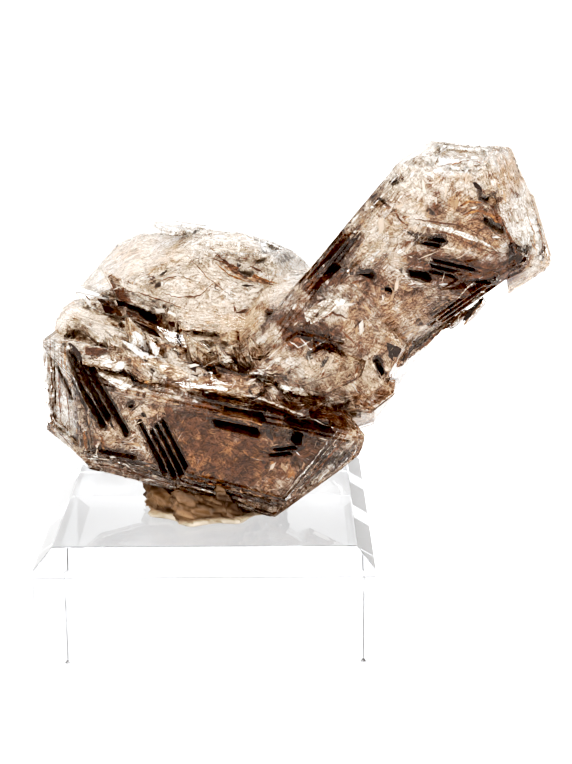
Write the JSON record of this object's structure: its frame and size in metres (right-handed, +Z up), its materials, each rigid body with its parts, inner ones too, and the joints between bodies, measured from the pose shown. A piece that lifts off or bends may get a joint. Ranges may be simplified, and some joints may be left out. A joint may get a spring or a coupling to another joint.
{
  "type": "window quartz crystal specimen on a display block",
  "caption": "Skeletal window quartz crystals grown together, stepped and slotted, fixed with tack on a clear bevelled display block",
  "frame": {"origin": "centre of the display block's underside, in the plane that the specimen stands on", "axes": "+Z up, -Y towards the viewer, +X to the viewer's right, where the arm of the crystal reaches"},
  "size_m": [0.0773, 0.05, 0.0741],
  "materials": {
    "quartz": "clear to smoky, glossy, full of tan and dark brown inclusions",
    "acrylic": "clear, polished",
    "tack": "kneaded putty, matte with a slight sheen"
  },
  "bodies": {
    "root": {"quartz_crystal": "quartz", "acrylic_block": "acrylic", "mineral_tack": "tack"}
  },
  "joints": []
}
